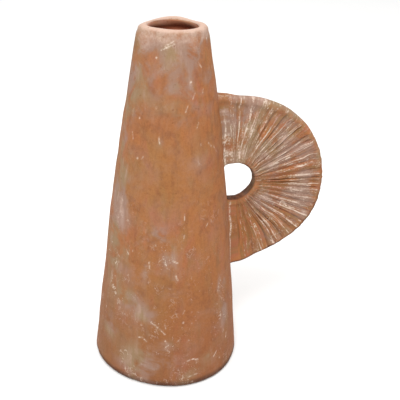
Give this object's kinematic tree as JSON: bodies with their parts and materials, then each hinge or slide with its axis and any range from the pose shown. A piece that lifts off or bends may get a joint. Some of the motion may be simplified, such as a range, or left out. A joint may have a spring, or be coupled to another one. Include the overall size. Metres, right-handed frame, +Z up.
{
  "type": "handled terracotta vase",
  "caption": "Tall conical hand-built vase with a small inward-turned mouth and an upright ribbed disc handle with a finger hole.",
  "frame": {"origin": "centre of the foot, on the surface that the vase stands on", "axes": "+Z up along the body's axis, +X from the axis towards the handle, the handle disc lies in the XZ plane"},
  "size_m": [0.2629, 0.1716, 0.3969],
  "materials": {
    "wall_clay": "matte unglazed terracotta with a thin rubbed whitewash",
    "floor_clay": "bare matte terracotta",
    "rim_clay": "matte terracotta, whitewash left thicker",
    "handle_clay": "matte terracotta, whitewash caught on the ridges"
  },
  "bodies": {
    "root": {"lower_wall": "wall_clay", "middle_wall": "wall_clay", "upper_wall": "wall_clay", "neck_wall": "wall_clay", "base_slab": "floor_clay", "rim": "rim_clay", "handle_web": "handle_clay", "handle_edge": "handle_clay", "finger_hole_collar": "handle_clay", "lower_handle_root": "handle_clay", "upper_handle_root": "handle_clay"}
  },
  "joints": []
}
